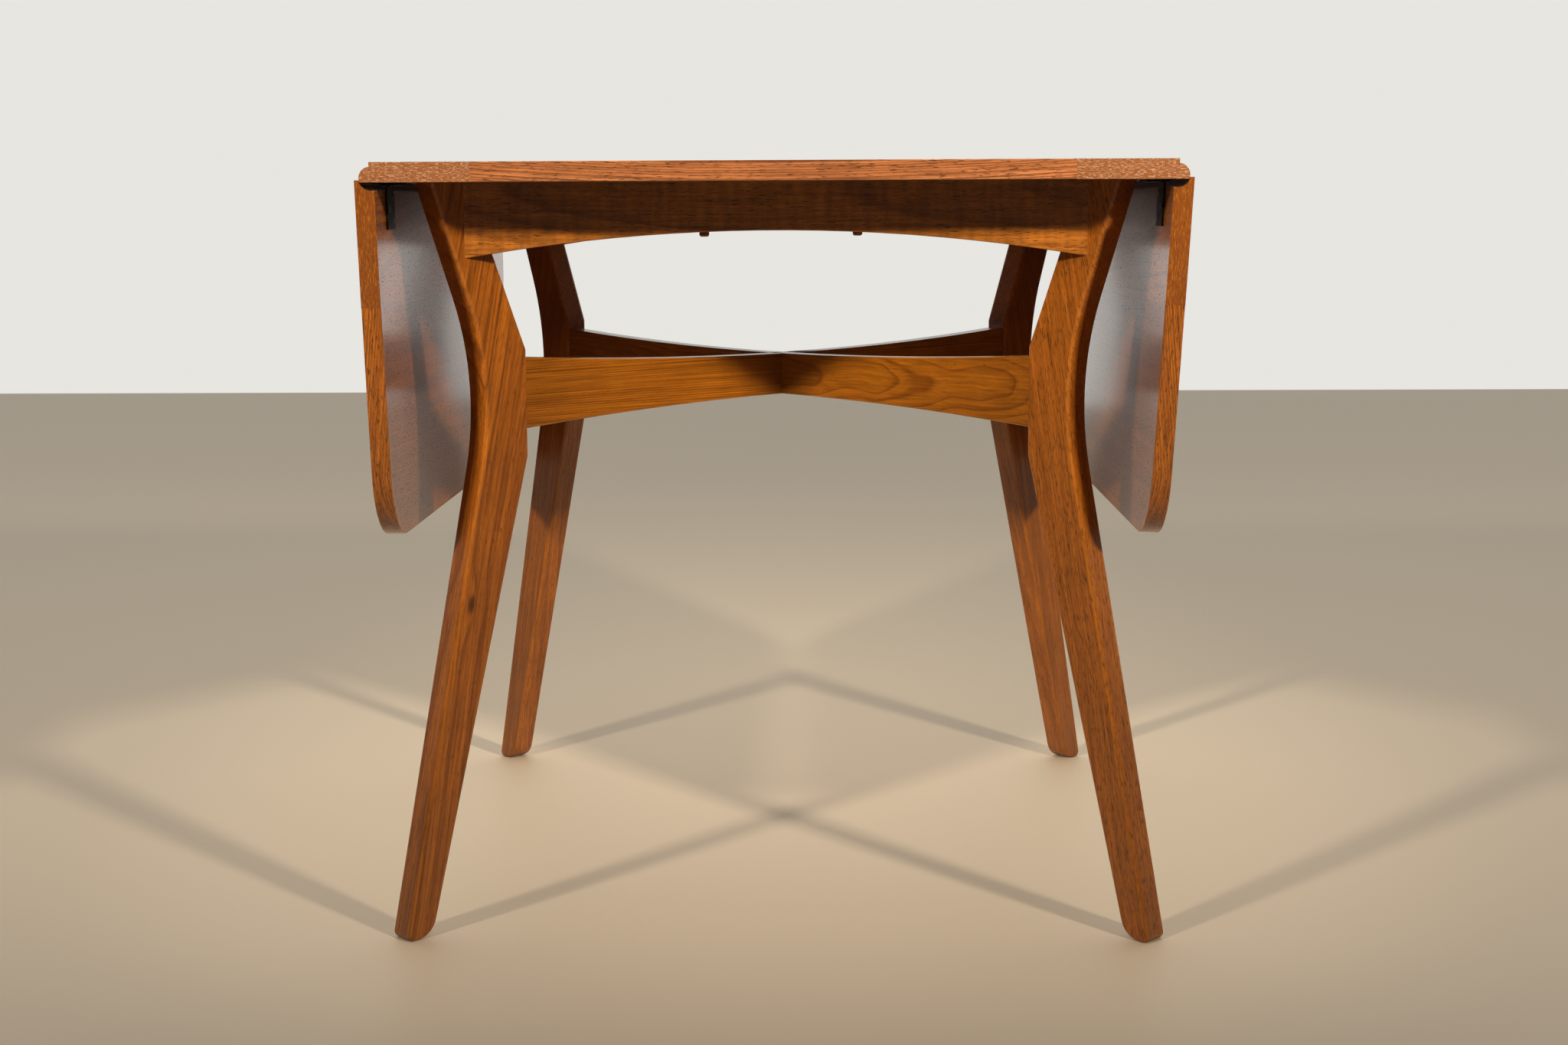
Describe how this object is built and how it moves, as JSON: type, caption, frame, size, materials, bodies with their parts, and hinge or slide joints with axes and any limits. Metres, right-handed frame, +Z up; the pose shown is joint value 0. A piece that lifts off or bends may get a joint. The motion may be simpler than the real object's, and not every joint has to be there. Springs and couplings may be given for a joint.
{
  "type": "drop leaf table",
  "caption": "Rectangular drop leaf table with rule-jointed hanging leaves, boomerang legs set on the diagonals, arched aprons, crossed arched stretchers and sliding leaf supports.",
  "frame": {"origin": "on the floor plane, under the middle of the table", "axes": "+Z up; +Y along the hinge lines of the leaves, the longest direction of the table when folded; +X across the leaves, from the left leaf to the right leaf"},
  "size_m": [0.753, 0.8, 0.735],
  "materials": {
    "veneered_panel": "satin lacquered red-brown veneer",
    "solid_top_wood": "satin lacquered solid wood with open pores",
    "leg_wood": "satin lacquered solid wood, straight fine grain",
    "apron_wood": "satin lacquered solid wood",
    "stretcher_wood": "satin lacquered solid wood, warmer than the legs",
    "peg_wood": "satin lacquered turned peg",
    "hidden_wood": "plain planed hardwood, unlacquered",
    "black_steel": "blackened steel, semi-matt",
    "screw_steel": "plain steel screw heads, slightly dulled"
  },
  "bodies": {
    "frame": {"top_panel": "veneered_panel", "top_strip_left": "solid_top_wood", "top_strip_right": "solid_top_wood", "top_lipping_front": "solid_top_wood", "top_lipping_back": "solid_top_wood", "leg_front_left": "leg_wood", "leg_front_right": "leg_wood", "leg_back_left": "leg_wood", "leg_back_right": "leg_wood", "apron_front": "apron_wood", "apron_back": "apron_wood", "rail_left": "apron_wood", "rail_right": "apron_wood", "stretcher_lower": "stretcher_wood", "stretcher_upper": "stretcher_wood", "rail_dowels": "hidden_wood", "fixing_blocks": "hidden_wood", "fixing_screws": "screw_steel", "guide_spacers": "hidden_wood", "guide_keeper": "hidden_wood", "guide_screws": "screw_steel", "hinge_plate_left_front": "black_steel", "hinge_plate_left_back": "black_steel", "hinge_plate_right_front": "black_steel", "hinge_plate_right_back": "black_steel", "hinge_pin_left_front": "black_steel", "hinge_pin_left_back": "black_steel", "hinge_pin_right_front": "black_steel", "hinge_pin_right_back": "black_steel", "hinge_plate_screws": "black_steel"},
    "left_leaf": {"leaf_panel_left": "veneered_panel", "leaf_strip_left": "solid_top_wood", "leaf_lipping_left": "solid_top_wood", "hinge_flap_left_front": "black_steel", "hinge_flap_left_back": "black_steel", "flap_screws_left": "screw_steel"},
    "right_leaf": {"leaf_panel_right": "veneered_panel", "leaf_strip_right": "solid_top_wood", "leaf_lipping_right": "solid_top_wood", "hinge_flap_right_front": "black_steel", "hinge_flap_right_back": "black_steel", "flap_screws_right": "screw_steel"},
    "left_loper": {"loper_left": "hidden_wood", "loper_peg_left": "peg_wood"},
    "right_loper": {"loper_right": "hidden_wood", "loper_peg_right": "peg_wood"}
  },
  "joints": [
    {"name": "left_leaf_hinge", "type": "hinge", "parent": "frame", "child": "left_leaf", "pos_m": [-0.362, 0, 0.72045], "axis": [0, 1, 0], "range_deg": [0, 90.7]},
    {"name": "right_leaf_hinge", "type": "hinge", "parent": "frame", "child": "right_leaf", "pos_m": [0.362, 0, 0.72045], "axis": [0, -1, 0], "range_deg": [0, 92.4]},
    {"name": "left_loper_slide", "type": "slide", "parent": "frame", "child": "left_loper", "axis": [-1, 0, 0], "range_m": [0, 0.043]},
    {"name": "right_loper_slide", "type": "slide", "parent": "frame", "child": "right_loper", "axis": [1, 0, 0], "range_m": [0, 0.043]}
  ]
}
